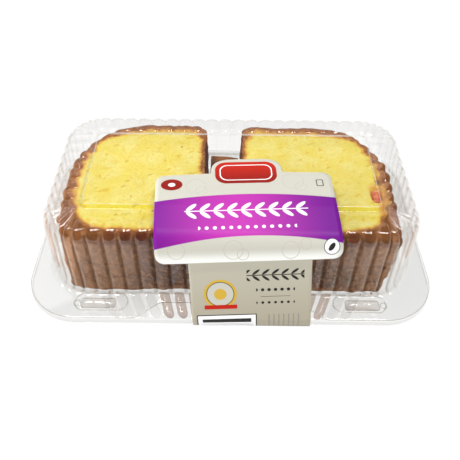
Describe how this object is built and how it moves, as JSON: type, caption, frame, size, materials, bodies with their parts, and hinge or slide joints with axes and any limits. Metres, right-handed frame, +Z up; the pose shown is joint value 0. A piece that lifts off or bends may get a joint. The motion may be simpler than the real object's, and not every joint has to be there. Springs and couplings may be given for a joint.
{
  "type": "sliced fruitcake pack",
  "caption": "Sliced fruitcake lying in two stacks in a clear fluted clamshell pack, with a loaf end between them and a card label that wraps over the lid and holds it shut.",
  "frame": {"origin": "on the table, under the middle of the whole pack", "axes": "+X along the pack to the right as the label is faced, +Y from the label side to the back, +Z up"},
  "size_m": [0.2366, 0.1456, 0.0541],
  "materials": {
    "clear_plastic": "clear glossy sheet",
    "crumb": "soft porous crumb",
    "crust": "baked brown crust",
    "fruit": "moist candied fruit",
    "card": "printed coated card"
  },
  "bodies": {
    "root": {"base_tray": "clear_plastic", "slice_left_1": "crumb", "slice_left_2": "crumb", "slice_left_3": "crumb", "slice_left_4": "crumb", "slice_right_1": "crumb", "slice_right_2": "crumb", "slice_right_3": "crumb", "slice_right_4": "crumb", "candied_fruit": "fruit", "loaf_end": "crust", "lid": "clear_plastic", "label": "card"}
  },
  "joints": []
}
